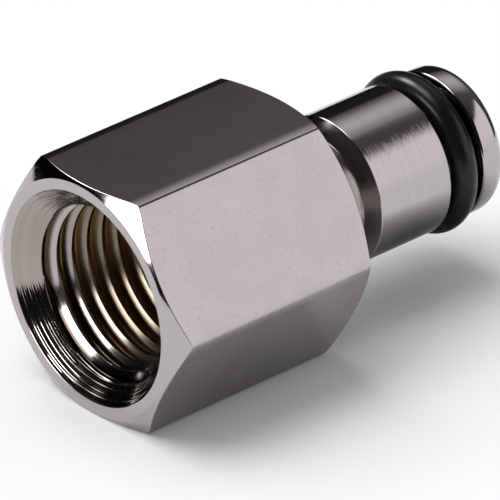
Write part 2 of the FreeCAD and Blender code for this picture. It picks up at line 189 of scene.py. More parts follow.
class FinishColours(bpy.types.PropertyGroup):
    """Colours of the materials."""

    plating: colour("Plating", "Bright plating on the brass body", (0.493, 0.458, 0.466))
    brass: colour("Brass", "Bare brass deep in the bore and on the retainer", (0.74, 0.5, 0.2))
    # Painted shade: a dark brown for the roots of the thread deep in the bore
    root_shade_brown: colour("Root shade", "Brown film in the roots of the thread", (0.31, 0.18, 0.08))
    rubber: colour("Rubber", "Black seal rubber", (0.006, 0.006, 0.0065))
    acetal: colour("Acetal", "Natural moulded poppet", (0.8, 0.79, 0.74))
    steel: colour("Spring steel", "Spring and retaining ring", (0.56, 0.55, 0.54))
    floor: colour("Floor", "Pale floor under the part", (0.9, 0.9, 0.9))
    dark_room: colour("Dark room", "Unlit room that the plating mirrors", (0.122, 0.113, 0.116))
    front_card: colour("Front card", "Large card that the near flat mirrors", (1.0, 0.94, 0.955))
    side_card: colour("Side card", "Bright card beyond the mouth", (1.0, 1.0, 1.0))
    top_card: colour("Top card", "Soft card above the nose", (0.7, 0.69, 0.7))
    key_card: colour("Key card", "Small bright card behind the part", (1.0, 1.0, 1.0))
    edge_card: colour("Edge card", "Soft card overhead that the rounded edges mirror", (1.0, 1.0, 1.0))


class StageSettings(bpy.types.PropertyGroup):
    """Camera, floor, room, lamp and cards."""

    aim: place("Aim", "Point that the camera looks at", (14.64 * MM, 0.15 * MM, -1.95 * MM))
    camera_distance: length("Distance", "Camera to that point", 627.5 * MM)
    azimuth: angle("Azimuth", "Camera round the part, from the front", -40.1)
    elevation: angle("Elevation", "Camera above the horizon", 28.77)
    roll: angle("Roll", "Camera about its own line of sight", -1.97)
    field: angle("Field of view", "Width of the camera's view", 3.089)
    floor_radius: length("Floor", "Half the width of the floor", 4)
    lit_radius: length("Lit floor", "Floor round the part that the plating mirrors as lit", 105 * MM)
    lit_centre: place("Lit centre", "Middle of that floor", (6 * MM, 48.5 * MM, 0))
    room_radius: length("Room", "Half the width of the dark room", 0.7)
    ambient: factor("Ambient", "Even light of the room on dull surfaces", 0.5)
    overhead: factor("Overhead lamp", "Strength of the soft lamp above", 2.2)
    overhead_spread: angle("Overhead spread", "Apparent width of that lamp", 60)
    overhead_from: direction("Overhead direction", "Where that lamp stands", (-0.2, 0.4, 0.9))
    front_strength: factor("Front card strength", "Strength of the large card", 1.1)
    front_from: direction("Front card direction", "Where that card stands", (0.6, -0.72, 0.34))
    side_strength: factor("Side card strength", "Strength of the bright card", 8.0)
    side_from: direction("Side card direction", "Where that card stands", (-0.946, 0.099, 0.309))
    top_strength: factor("Top card strength", "Strength of the soft card", 0.86)
    top_from: direction("Top card direction", "Where that card stands", (0.565, 0.349, 0.748))
    top_reach: length("Top card reach", "Middle of that card to where it fades out", 0.29)
    key_strength: factor("Key card strength", "Strength of the small card", 20.0)
    key_from: direction("Key card direction", "Where that card stands", (-0.14, 0.66, 0.72))
    key_reach: length("Key card reach", "Middle of that card to where it fades out", 0.15)
    edge_strength: factor("Edge card strength", "Strength of the card overhead", 6.0)
    edge_from: direction("Edge card direction", "Where that card stands", (-0.26, 0.28, 0.92))
    edge_reach: length("Edge card reach", "Middle of that card to where it fades out", 0.2)


SETTINGS = {
    "insert_body_sizes": InsertBodySizes,
    "insert_valve_sizes": ValveSizes,
    "insert_colours": FinishColours,
    "insert_stage": StageSettings,
}


def rounded(profile, steps=4):
    """Outline points with its corners rounded; each corner is (station, radius, rounding)."""
    wide, wide_steps = 0.5 * MM, 3 * steps
    points = []
    for index, (station, radius, rounding) in enumerate(profile):
        corner = Vector((station, radius))
        if rounding == 0 or index in (0, len(profile) - 1):
            points.append((index, corner))
            continue
        back = Vector(profile[index - 1][:2]) - corner
        ahead = Vector(profile[index + 1][:2]) - corner
        arc_steps = wide_steps if rounding > wide else steps
        for point in corner_arc(corner, back, ahead, rounding, arc_steps):
            points.append((index, point))
    return points


def corner_arc(corner, back, ahead, rounding, steps):
    """Points of the arc that rounds a corner, which takes up less than half of each side."""
    side_share = 0.45
    half = back.angle(ahead) / 2
    reach = min(rounding / math.tan(half), side_share * back.length, side_share * ahead.length)
    start = corner + back.normalized() * reach
    end = corner + ahead.normalized() * reach
    middle = corner + (back.normalized() + ahead.normalized()).normalized() * (reach / math.cos(half))
    sweep = math.pi - 2 * half
    first, last = start - middle, end - middle
    points = []
    for step in range(steps + 1):
        share = step / steps
        arm = first * math.sin(sweep * (1 - share)) + last * math.sin(sweep * share)
        points.append(middle + arm / math.sin(sweep))
    return points


def axis_point(station, radius, turn):
    """Point at a station along the axis, at a radius and a turn about it."""
    return Vector((station, radius * math.cos(turn), radius * math.sin(turn)))


def even_turns(count):
    """Turns evenly round the axis."""
    return [FULL_TURN * index / count for index in range(count)]


def add_rings(mesh, turns, outlines):
    """Rings of vertices, one for each outline point; outlines has one list of points for each turn."""
    return [
        [mesh.verts.new(axis_point(point.x, point.y, turn)) for turn, point in zip(turns, row)]
        for row in zip(*outlines)
    ]


def join_rings(mesh, first, second, material=0):
    """Band of faces between two rings."""
    count = len(first)
    for index in range(count):
        following = (index + 1) % count
        face = mesh.faces.new((first[index], first[following], second[following], second[index]))
        face.material_index = material


def new_piece(name, mesh, materials):
    """Smooth-shaded object from a finished mesh."""
    bmesh.ops.remove_doubles(mesh, verts=mesh.verts, dist=WELD_REACH)
    bmesh.ops.recalc_face_normals(mesh, faces=mesh.faces)
    data = bpy.data.meshes.new(name)
    mesh.to_mesh(data)
    mesh.free()
    data.shade_smooth()
    for material in materials:
        data.materials.append(material)
    piece = bpy.data.objects.new(name, data)
    bpy.context.scene.collection.objects.link(piece)
    return piece


def firm_normals(piece):
    """Keeps large faces flat beside their rounded edges."""
    piece.modifiers.new("firm_normals", "WEIGHTED_NORMAL")


def hex_columns(sizes):
    """Turns round the hexagon with the bar's reach at each: fine at the corners, coarser on the flats."""
    flat_steps, buffed_steps, corner_steps = 9, 4, 4
    buffed, corner, turn = sizes.buffed_radius, sizes.corner_radius, sizes.buffed_angle
    half_side = math.pi / HEX_SIDES
    depth = buffed * (1 - math.cos(turn)) + corner * (math.cos(turn) - math.cos(half_side))
    width = buffed * math.sin(turn) + corner * (math.sin(half_side) - math.sin(turn))
    flat = (sizes.apothem - depth) * math.tan(half_side) - width
    half = [Vector((sizes.apothem, flat * step / flat_steps)) for step in range(flat_steps + 1)]
    for step in range(1, buffed_steps + 1):
        lean = turn * step / buffed_steps
        half.append(Vector((sizes.apothem - buffed * (1 - math.cos(lean)), flat + buffed * math.sin(lean))))
    joint = half[-1]
    for step in range(1, corner_steps + 1):
        lean = turn + (half_side - turn) * step / corner_steps
        inward = corner * (math.cos(turn) - math.cos(lean))
        half.append(joint + Vector((-inward, corner * (math.sin(lean) - math.sin(turn)))))
    side = [Vector((point.x, -point.y)) for point in reversed(half[1:])] + half[:-1]
    columns = []
    for number in range(HEX_SIDES):
        facing = FULL_TURN * (number + 0.5) / HEX_SIDES
        columns += [(facing + math.atan2(point.y, point.x), point.length) for point in side]
    return columns


def mouth_radius(sizes):
    """Radius where the countersink meets the end face."""
    return sizes.apothem - sizes.face_inset - sizes.mouth_rim


def thread_start_station(sizes):
    """Station in the countersink just before the thread begins to cut it."""
    return mouth_radius(sizes) - sizes.thread_radius - sizes.thread_depth - sizes.edge_round


def body_outline(sizes, reach):
    """Outline of the body at one turn: countersink, outside, tip and back through the valve bore."""
    face = sizes.apothem - sizes.face_inset
    edge = (reach - face) * math.tan(sizes.chamfer_angle)
    floor_end = sizes.hex_length + sizes.floor_length
    wall_rise = sizes.nose_radius - sizes.floor_radius
    nose_start = floor_end + wall_rise * math.tan(sizes.wall_angle)
    nose_end = nose_start + sizes.nose_length
    gland_end = nose_end + sizes.gland_width
    tip_end = BODY_HIGH.x
    seat_end = tip_end - sizes.throat_length
    seat_start = seat_end - (sizes.chamber_radius - sizes.throat_radius)
    pocket_end = SPRING_LOW.x
    lead_in_end = pocket_end + sizes.shoulder_radius - sizes.chamber_radius
    groove_end = RETAINER_LOW.x
    groove_start = groove_end - sizes.ring_groove_width
    land_start = groove_start - sizes.ring_land
    soft = sizes.edge_round
    sink_depth = thread_start_station(sizes)
    return [
        (sink_depth, mouth_radius(sizes) - sink_depth, 0),
        (0, mouth_radius(sizes), soft),
        (0, face, soft),
        (edge, reach, soft),
        (sizes.hex_length - edge, reach, soft),
        (sizes.hex_length, face, soft),
        (sizes.hex_length, sizes.floor_radius, sizes.nose_edge),
        (floor_end, sizes.floor_radius, sizes.nose_edge),
        (nose_start, sizes.nose_radius, sizes.nose_edge),
        (nose_end, sizes.nose_radius, sizes.nose_edge),
        (nose_end, sizes.gland_radius, sizes.nose_edge),
        (gland_end, sizes.gland_radius, sizes.nose_edge),
        (gland_end, sizes.tip_radius, sizes.tip_rim),
        (tip_end, sizes.tip_radius, sizes.tip_round),
        (tip_end, sizes.throat_radius + sizes.throat_break, soft),
        (tip_end - sizes.throat_break, sizes.throat_radius, soft),
        (seat_end, sizes.throat_radius, soft),
        (seat_start, sizes.chamber_radius, soft),
        (lead_in_end, sizes.chamber_radius, soft),
        (pocket_end, sizes.shoulder_radius, soft),
        (pocket_end, sizes.pocket_radius, soft),
        (groove_end, sizes.pocket_radius, soft),
        (groove_end, sizes.ring_groove_radius, soft),
        (groove_start, sizes.ring_groove_radius, soft),
        (groove_start, sizes.pocket_radius, soft),
        (land_start, sizes.pocket_radius, soft),
        (sizes.thread_end, sizes.thread_radius, 0),
    ]


def thread_profile(sizes):
    """One pitch of the thread, as shares of the pitch and depths: land, flank, round root, flank."""
    pitch, depth, slope = sizes.thread_pitch, sizes.thread_depth, math.tan(sizes.thread_flank)
    apex = depth + sizes.thread_root * (1 / math.sin(sizes.thread_flank) - 1)
    land = pitch / 2 - apex * slope
    soft = sizes.edge_round / 2
    corners = [
        (-pitch / 2, apex, 0),
        (-land, 0, soft),
        (land, 0, soft),
        (pitch / 2, apex, sizes.thread_root),
        (pitch - land, 0, 0),
    ]
    arcs = {1: [], 2: [], 3: []}
    steps = 5
    for index, point in rounded(corners, steps)[1:-1]:
        arcs[index].append(point)
    rear, front, root = arcs.values()
    flank = [front[-1].lerp(root[0], step / steps) for step in range(1, steps)]
    back = [root[-1].lerp(rear[0] + Vector((pitch, 0)), step / steps) for step in range(1, steps)]
    return [(point.x / pitch, point.y) for point in rear + front + flank + root + back]


def depth_at(profile, phase):
    """Depth of a thread profile at any share of a turn."""
    first = profile[0][0]
    share = first + (phase - first) % 1
    points = profile + [(first + 1, profile[0][1])]
    (start, low), (end, high) = next(pair for pair in zip(points, points[1:]) if share <= pair[1][0])
    return low + (high - low) * (share - start) / (end - start)


def thread_column(sizes, profile, lead, numbers, start):
    """Points down the threaded wall at one turn, with one where the countersink meets the thread."""
    pitch, finish = sizes.thread_pitch, sizes.thread_end
    run_out = 1.5 * pitch
    mouth = mouth_radius(sizes)
    stations, walls = [], []
    for number in numbers:
        for share, _ in profile:
            station = min(max(pitch * (number + share + lead), start), finish)
            fade = min(1, (finish - station) / run_out)
            depth = depth_at(profile, station / pitch - lead)
            stations.append(station)
            walls.append(sizes.thread_radius + depth * fade * fade * (3 - 2 * fade))
    above = [wall - (mouth - station) for wall, station in zip(walls, stations)]
    points = [Vector((station, max(wall, mouth - station))) for station, wall in zip(stations, walls)]
    for index in range(len(points) - 1):
        low, high = above[index], above[index + 1]
        if low * high < 0:
            meeting = stations[index] + (stations[index + 1] - stations[index]) * low / (low - high)
            points[index if low < 0 else index + 1] = Vector((meeting, mouth - meeting))
    return points


def cut_thread(mesh, sizes, turns):
    """Threaded wall whose rows follow the helix, from the countersink to a square end."""
    start, finish = thread_start_station(sizes), sizes.thread_end
    mouth = mouth_radius(sizes)
    profile = thread_profile(sizes)
    leads = [(turn + sizes.thread_start) / FULL_TURN for turn in turns]
    leads.append(leads[0] + 1)
    lowest = math.floor(start / sizes.thread_pitch - leads[-1]) - 1
    highest = math.ceil(finish / sizes.thread_pitch - leads[0]) + 1
    numbers = range(lowest, highest + 1)
    columns = []
    for lead in leads:
        turn = FULL_TURN * lead - sizes.thread_start
        points = thread_column(sizes, profile, lead, numbers, start)
        columns.append([mesh.verts.new(axis_point(point.x, point.y, turn)) for point in points])
    for first, second in zip(columns, columns[1:]):
        for row in range(len(first) - 1):
            corners = first[row], second[row], second[row + 1], first[row + 1]
            beyond = [abs(corner.co.x + corner.co.yz.length - mouth) for corner in corners]
            mesh.faces.new(corners).material_index = SINK if max(beyond) < CONE_REACH else BORE


def body_finish(corner, following):
    """Finish of the band between two outline points, from the corners that they belong to."""
    if corner == 0:
        return SINK
    if (corner, following) == (FLAT_CORNER, FLAT_CORNER + 1):
        return FLATS
    if corner < NOSE_CORNER and following > GROOVE_CORNER:
        return GROOVE
    if (corner, following) == (NOSE_CORNER, NOSE_CORNER + 1):
        return NOSE
    return BORE if corner >= THROAT_CORNER else TURNED


class PlatedBody(bpy.types.Operator):
    """Make the plated hexagon body with its thread, latch groove, nose and valve bore"""

    bl_idname = "coupling.plated_body"
    bl_label = "Plated body"

    def execute(self, context):
        sizes = context.scene.insert_body_sizes
        columns = hex_columns(sizes)
        turns = [turn for turn, _ in columns]
        outlines = [rounded(body_outline(sizes, reach)) for _, reach in columns]
        corners = [corner for corner, _ in outlines[0]]
        mesh = bmesh.new()
        rings = add_rings(mesh, turns, [[point for _, point in outline] for outline in outlines])
        for index in range(len(rings) - 1):
            finish = body_finish(corners[index], corners[index + 1])
            join_rings(mesh, rings[index], rings[index + 1], finish)
        cut_thread(mesh, sizes, turns)
        makers = {
            TURNED: plated_turned, FLATS: plated_flats, BORE: plated_bore,
            SINK: plated_sink, GROOVE: plated_groove, NOSE: plated_nose,
        }
        piece = new_piece("plated_body", mesh, [makers[finish](context) for finish in sorted(makers)])
        firm_normals(piece)
        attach(piece, "housing")
        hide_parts("insert_body")
        return {"FINISHED"}


def turned_piece(name, outline, materials, count=96):
    """Closed piece turned about the axis from one closed outline of rounded points."""
    mesh = bmesh.new()
    turns = even_turns(count)
    rings = add_rings(mesh, turns, [outline] * count)
    for index, ring in enumerate(rings):
        join_rings(mesh, ring, rings[(index + 1) % len(rings)])
    piece = new_piece(name, mesh, materials)
    firm_normals(piece)
    return piece


class Seals(bpy.types.Operator):
    """Make the nose O-ring and the poppet's moulded seal"""

    bl_idname = "coupling.seals"
    bl_label = "Seals"

    def execute(self, context):
        valve = context.scene.insert_valve_sizes
        rubber = seal_rubber(context)
        cord = (O_RING_HIGH.x - O_RING_LOW.x) / 2
        centre = Vector(((O_RING_HIGH.x + O_RING_LOW.x) / 2, O_RING_HIGH.z - cord))
        section_steps, ring_steps = 40, 160
        section = [
            centre + Vector((cord * math.cos(turn), cord * math.sin(turn)))
            for turn in even_turns(section_steps)
        ]
        o_ring = turned_piece("nose_seal", section, [rubber], ring_steps)
        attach(o_ring, "housing")
        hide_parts("nose_o_ring")

        outer = SEAL_HIGH.y
        face_rear = SEAL_HIGH.x - (outer - valve.lip_radius)
        soft = valve.edge_round
        corners = [
            (SEAL_LOW.x, valve.seal_floor, 0),
            (SEAL_LOW.x, outer, soft),
            (face_rear, outer, soft),
            (SEAL_HIGH.x, valve.lip_radius, soft),
            (SEAL_HIGH.x, valve.seal_floor, 0),
        ]
        ring = turned_piece("poppet_face_seal", [point for _, point in rounded(corners)], [rubber])
        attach(ring, "poppet")
        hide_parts("poppet_seal")
        return {"FINISHED"}


def wing_reach(valve, turn):
    """Reach of the poppet's winged guide at one turn, with a round root between the wings."""
    quarter_turn = math.pi / 2
    past_wing = turn % quarter_turn
    across = min(past_wing, quarter_turn - past_wing)
    if across <= 0:
        return valve.wing_radius
    on_wing = valve.wing_thickness / 2 / math.sin(across)
    return min(valve.wing_radius, max(on_wing, valve.wing_root))


class Poppet(bpy.types.Operator):
    """Make the moulded poppet with its stem, flange, seal groove and winged guide"""

    bl_idname = "coupling.poppet"
    bl_label = "Poppet"

    def execute(self, context):
        valve = context.scene.insert_valve_sizes
        flange = POPPET_HIGH.y
        seal_rear = SEAL_LOW.x
        flange_rear = seal_rear - valve.flange_length
        spigot_rear = flange_rear - valve.spigot_length
        wing_start = SEAL_HIGH.x + valve.lip_length
        soft, stem_round = valve.edge_round, 3 * valve.edge_round
        ring_steps = 160
        turns = even_turns(ring_steps)
        outlines = []
        for turn in turns:
            reach = wing_reach(valve, turn)
            corners = [
                (POPPET_LOW.x, 0, 0),
                (POPPET_LOW.x, valve.stem_radius, stem_round),
                (spigot_rear, valve.stem_radius, soft),
                (spigot_rear, valve.spigot_radius, soft),
                (flange_rear, valve.spigot_radius, soft),
                (flange_rear, flange, soft),
                (seal_rear, flange, soft),
                (seal_rear, valve.seal_floor, soft),
                (SEAL_HIGH.x, valve.seal_floor, soft),
                (SEAL_HIGH.x, valve.lip_radius, soft),
                (wing_start, valve.lip_radius, soft),
                (wing_start, reach, soft),
                (POPPET_HIGH.x, reach, valve.front_round),
                (POPPET_HIGH.x, 0, 0),
            ]
            outlines.append([point for _, point in rounded(corners)])
        mesh = bmesh.new()
        rings = add_rings(mesh, turns, outlines)
        for first, second in zip(rings, rings[1:]):
            join_rings(mesh, first, second)
        piece = new_piece("poppet_moulding", mesh, [natural_acetal(context)])
        firm_normals(piece)
        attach(piece, "poppet")
        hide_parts("valve_poppet")
        return {"FINISHED"}


class Spring(bpy.types.Operator):
    """Make the valve spring; nothing here shortens it as the poppet opens"""

    bl_idname = "coupling.spring"
    bl_label = "Spring"

    def execute(self, context):
        valve = context.scene.insert_valve_sizes
        wire = valve.wire_radius
        coil = SPRING_HIGH.z - wire
        low, high = SPRING_LOW.x, SPRING_HIGH.x
        total = valve.active_turns + 2
        steps_per_turn, sides = 48, 16
        open_length = high - low - 2 * valve.closed_pitch
        mesh = bmesh.new()
        rings = []
        for step in range(total * steps_per_turn + 1):
            turned = step / steps_per_turn
            middle = min(max(turned - 1, 0), valve.active_turns)
            ends = turned - middle
            station = low + ends * valve.closed_pitch + middle * open_length / valve.active_turns
            turn = FULL_TURN * turned
            ring = []
            for side in even_turns(sides):
                across = station + wire * math.cos(side)
                ground = min(max(across, low), high)
                ring.append(mesh.verts.new(axis_point(ground, coil + wire * math.sin(side), turn)))
            rings.append(ring)
        for first, second in zip(rings, rings[1:]):
            join_rings(mesh, first, second)
        mesh.faces.new(rings[0])
        mesh.faces.new(reversed(rings[-1]))
        piece = new_piece("coil_spring", mesh, [spring_steel(context)])
        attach(piece, "housing")
        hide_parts("valve_spring")
        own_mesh(piece)
        return {"FINISHED"}


class RetainerAndRing(bpy.types.Operator):
    """Finish the spider retainer and the retaining ring behind it"""

    bl_idname = "coupling.retainer_and_ring"
    bl_label = "Retainer and ring"

    def execute(self, context):
        finishes = {"spring_retainer": bare_brass(context), "retaining_ring": spring_steel(context)}
        seam, sharp = 1e-6, math.radians(40)
        for node, material in finishes.items():
            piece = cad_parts[node]
            piece.data.materials.clear()
            piece.data.materials.append(material)
            weld = piece.modifiers.new("joined_faces", "WELD")
            weld.merge_threshold = seam
            bevel = piece.modifiers.new("broken_edges", "BEVEL")
            bevel.width = context.scene.insert_valve_sizes.broken_edge
            bevel.segments = 2
            bevel.limit_method = "ANGLE"
            bevel.angle_limit = sharp
            firm_normals(piece)
        return {"FINISHED"}


def put(tree, socket, value):
    """Links an input to another socket, or sets its value."""
    if isinstance(value, bpy.types.NodeSocket):
        tree.links.new(value, socket)
    else:
        socket.default_value = value


def add_node(tree, kind, inputs=None, **settings):
    """Node with its settings, and its inputs set to values or linked to sockets."""
    node = tree.nodes.new(kind)
    for name, value in settings.items():
        setattr(node, name, value)
    for name, value in (inputs or {}).items():
        put(tree, node.inputs[name], value)
    return node


def piece_place(tree):
    """Point on a piece, in the piece's own metres."""
    return add_node(tree, "ShaderNodeTexCoord").outputs["Object"]


def noise(tree, inputs, **settings):
    """Cloudy value between 0 and 1."""
    return add_node(tree, "ShaderNodeTexNoise", inputs, **settings).outputs["Fac"]


def distance_along(tree, point, way):
    """How far a point lies along a direction, times that direction's length."""
    inputs = {0: point, 1: way}
    return add_node(tree, "ShaderNodeVectorMath", inputs, operation="DOT_PRODUCT").outputs["Value"]


def calculate(tree, operation, *values):
    """Result of one step of arithmetic on numbers or sockets."""
    return add_node(tree, "ShaderNodeMath", dict(enumerate(values)), operation=operation).outputs[0]


def spread(tree, value, low, high, to_low=0.0, to_high=1.0):
    """Value mapped smoothly from one range to another."""
    inputs = {"Value": value, "From Min": low, "From Max": high, "To Min": to_low, "To Max": to_high}
    node = add_node(tree, "ShaderNodeMapRange", inputs, interpolation_type="SMOOTHSTEP")
    return node.outputs["Result"]


def blend_colours(tree, share, first, second):
    """Colour between two colours."""
    node = add_node(tree, "ShaderNodeMix", data_type="RGBA")
    sockets = {socket.identifier: socket for socket in node.inputs}
    put(tree, sockets["Factor_Float"], share)
    put(tree, sockets["A_Color"], first)
    put(tree, sockets["B_Color"], second)
    return next(socket for socket in node.outputs if socket.identifier == "Result_Color")


def opaque(shade, share=1.0):
    """Colour with an alpha of 1, lightened or darkened."""
    return (*(channel * share for channel in shade), 1)


def new_group(name, inputs, outputs):
    """Empty shader node group with number sockets; returns it with its input sockets."""
    group = bpy.data.node_groups.new(name, "ShaderNodeTree")
    number = "NodeSocketFloat"
    for label, default in inputs.items():
        socket = group.interface.new_socket(label, in_out="INPUT", socket_type=number)
        socket.default_value = default
    for label in outputs:
        group.interface.new_socket(label, in_out="OUTPUT", socket_type=number)
    return group, add_node(group, "NodeGroupInput").outputs


def turning_marks():
    """Group: fine rings that a cutting tool leaves round the axis."""
    name = "Turning marks"
    if name in bpy.data.node_groups:
        return bpy.data.node_groups[name]
    inputs = {"Lines per mm": 6.0, "Drift": 0.6, "Detail": 3.0}
    group, given = new_group(name, inputs, ("Height", "Tone"))
    at = piece_place(group)
    part = add_node(group, "ShaderNodeSeparateXYZ", {0: at}).outputs
    squares = [calculate(group, "MULTIPLY", part[axis], part[axis]) for axis in ("Y", "Z")]
    radius = calculate(group, "SQRT", calculate(group, "ADD", *squares))
    # The rings follow each other along the axis and, on faces across it, along the radius.
    per_radius, per_length, bands_per_mm = -0.6, 1.7, 1.1
    inward = calculate(group, "MULTIPLY", radius, per_radius)
    along = calculate(group, "MULTIPLY_ADD", part["X"], per_length, inward)
    in_mm = calculate(group, "DIVIDE", along, MM)
    wander = noise(group, {"Vector": at, "Scale": 180.0, "Detail": 1.0})
    count = calculate(group, "MULTIPLY", in_mm, given["Lines per mm"])
    drifted = calculate(group, "MULTIPLY_ADD", wander, given["Drift"], count)
    fine = {"W": drifted, "Scale": 1.0, "Detail": given["Detail"], "Roughness": 0.65}
    broad = {"W": calculate(group, "MULTIPLY", in_mm, bands_per_mm), "Scale": 1.0, "Detail": 2.0}
    rings = noise(group, fine, noise_dimensions="1D")
    bands = noise(group, broad, noise_dimensions="1D")
    add_node(group, "NodeGroupOutput", {"Height": rings, "Tone": bands})
    return group


def surface_specks():
    """Group: tiny pits and a slow unevenness of a finished surface."""
    name = "Surface specks"
    if name in bpy.data.node_groups:
        return bpy.data.node_groups[name]
    inputs = {"Specks per mm": 4.0, "Coverage": 0.35}
    group, given = new_group(name, inputs, ("Specks", "Unevenness"))
    slow_share, rarest, cover_share, softness = 0.08, 0.95, 0.6, 0.08
    at = piece_place(group)
    scale = calculate(group, "DIVIDE", given["Specks per mm"], MM)
    pits = noise(group, {"Vector": at, "Scale": scale, "Detail": 2.0})
    slow_scale = calculate(group, "MULTIPLY", scale, slow_share)
    slow = noise(group, {"Vector": at, "Scale": slow_scale, "Detail": 3.0})
    covered = calculate(group, "MULTIPLY", given["Coverage"], cover_share)
    edge = calculate(group, "SUBTRACT", rarest, covered)
    mask = spread(group, pits, edge, calculate(group, "ADD", edge, softness))
    add_node(group, "NodeGroupOutput", {"Specks": mask, "Unevenness": slow})
    return group


def new_material(name):
    """Material with an empty Principled shader; returns it with its tree and the shader."""
    material = bpy.data.materials.new(name)
    material.use_nodes = True
    tree = material.node_tree
    return material, tree, tree.nodes["Principled BSDF"]


def set_group(tree, group, inputs):
    """Outputs of a group that is placed in a material with its own values."""
    return add_node(tree, "ShaderNodeGroup", inputs, node_tree=group).outputs


def raise_surface(tree, shader, height, depth):
    """Bump of a depth in metres on a shader."""
    bump = add_node(tree, "ShaderNodeBump", {"Height": height, "Strength": 1.0, "Distance": depth})
    tree.links.new(bump.outputs["Normal"], shader.inputs["Normal"])


def connect(tree, shader, **sockets):
    """Links or values on a shader's inputs; an underscore stands for a space."""
    for name, value in sockets.items():
        put(tree, shader.inputs[name.replace("_", " ")], value)


def tone_range(tree, share, shade, tones):
    """Colour between two levels of one shade."""
    low, high = tones
    return blend_colours(tree, share, opaque(shade, low), opaque(shade, high))


def ringed_plating(name, shade, rings, tones, roughness, depth):
    """Plated metal with the tool's rings in its tone, its roughness and its surface."""
    material, tree, shader = new_material(name)
    marks = set_group(tree, turning_marks(), rings)
    tone = tone_range(tree, spread(tree, marks["Tone"], *SLOW_RANGE), shade, tones)
    dullness = spread(tree, marks["Height"], *RING_RANGE, *roughness)
    connect(tree, shader, Metallic=1.0, Base_Color=tone, Roughness=dullness)
    raise_surface(tree, shader, marks["Height"], depth)
    return material


def speckled(name, shade, specks, tones, roughness, depth, **plain):
    """Material with a slow unevenness of tone and roughness, specks in its surface and plain values."""
    material, tree, shader = new_material(name)
    marks = set_group(tree, surface_specks(), specks)
    tone = tone_range(tree, marks["Unevenness"], shade, tones)
    dullness = spread(tree, marks["Unevenness"], *SLOW_RANGE, *roughness)
    connect(tree, shader, Base_Color=tone, Roughness=dullness, **plain)
    raise_surface(tree, shader, marks["Specks"], depth)
    return material


def tinted_plating(colours, plating, brass):
    """Plating colour with a brass tint, from a share of each; shares under one darken it, as painted shade.
    """
    return [plating * plated + brass * bare for plated, bare in zip(colours.plating, colours.brass)]


def plated_turned(context):
    """Bright plating over turned brass, with rings left by the tool."""
    shade = context.scene.insert_colours.plating
    rings = {"Lines per mm": 7.0, "Drift": 1.0}
    return ringed_plating(
        "plated_turned", shade, rings, tones=(0.98, 1.02), roughness=(0.06, 0.12), depth=0.0015 * MM
    )


def plated_sink(context):
    """Bright plating over the coarsely cut countersink, darkened as painted shade and tinted by the brass.
    """
    # Painted shade: the countersink's plating is darker than on the outside, with a brass tint
    shade = tinted_plating(context.scene.insert_colours, plating=0.63, brass=0.09)
    rings = {"Lines per mm": 4.8, "Drift": 0.5, "Detail": 0.6}
    return ringed_plating(
        "plated_sink", shade, rings, tones=(0.95, 1.03), roughness=(0.06, 0.14), depth=0.02 * MM
    )


def plated_groove(context):
    """Duller, browner plating in the latch groove, darkened there as painted shade."""
    # Painted shade: the plating in the groove is darkened
    shade = tinted_plating(context.scene.insert_colours, plating=0.66, brass=0.04)
    rings = {"Lines per mm": 5.0, "Drift": 1.0}
    return ringed_plating(
        "plated_groove", shade, rings, tones=(0.9, 1.1), roughness=(0.15, 0.22), depth=0.002 * MM
    )


def plated_nose(context):
    """Bright plating over the finely turned nose, whose rings fray the edges of what it mirrors."""
    shade = context.scene.insert_colours.plating
    rings = {"Lines per mm": 5.0, "Drift": 6.0}
    return ringed_plating(
        "plated_nose", shade, rings, tones=(0.98, 1.02), roughness=(0.035, 0.055), depth=0.004 * MM
    )


def plated_flats(context):
    """Bright plating over the drawn flats of the bar, with tiny pits."""
    material, tree, shader = new_material("plated_flats")
    shade = context.scene.insert_colours.plating
    specks = set_group(tree, surface_specks(), {"Specks per mm": 5.0, "Coverage": 0.56})
    slow = specks["Unevenness"]
    even = tone_range(tree, spread(tree, slow, *SLOW_RANGE), shade, (0.97, 1.03))
    pitted = blend_colours(tree, specks["Specks"], even, opaque(shade, 0.87))
    roughness = spread(tree, slow, *SLOW_RANGE, 0.09, 0.13)
    connect(tree, shader, Metallic=1.0, Base_Color=pitted, Roughness=roughness)
    raise_surface(tree, shader, slow, 0.002 * MM)
    return material


def plated_bore(context):
    """Plating darkened towards the depth of the bore and in the thread's roots as painted shade, with a
    brass tint.
    """
    material, tree, shader = new_material("plated_bore")
    colours = context.scene.insert_colours
    crest = context.scene.insert_body_sizes.thread_radius
    shade_and_dullness_depths = 1.5 * MM, 6 * MM
    root_wall = crest + 0.2 * MM, crest + 0.5 * MM
    part = add_node(tree, "ShaderNodeSeparateXYZ", {0: piece_place(tree)}).outputs
    depth = spread(tree, part["X"], *shade_and_dullness_depths)
    across = add_node(tree, "ShaderNodeCombineXYZ", {"Y": part["Y"], "Z": part["Z"]}).outputs[0]
    radius = add_node(tree, "ShaderNodeVectorMath", {0: across}, operation="LENGTH").outputs["Value"]
    root = spread(tree, radius, *root_wall)
    # Painted shade: darker, browner plating deep in the bore, and darker still in the roots of the thread
    tinted = tinted_plating(colours, plating=0.24, brass=0.14)
    open_shade = blend_colours(tree, depth, opaque(colours.plating), opaque(tinted))
    root_shade = blend_colours(tree, depth, opaque(tinted, 0.25), opaque(colours.root_shade_brown))
    shade = blend_colours(tree, root, open_shade, root_shade)
    marks = set_group(tree, turning_marks(), {"Lines per mm": 3.0, "Drift": 1.5})
    crest_wear, root_wear = 0.14, 0.2
    dull_root = calculate(tree, "MULTIPLY_ADD", root, root_wear, crest_wear)
    worn = calculate(tree, "MULTIPLY", depth, dull_root)
    cut = spread(tree, marks["Height"], *RING_RANGE, 0.08, 0.14)
    roughness = calculate(tree, "ADD", worn, cut)
    connect(tree, shader, Metallic=1.0, Base_Color=shade, Roughness=roughness)
    raise_surface(tree, shader, marks["Height"], 0.0015 * MM)
    return material


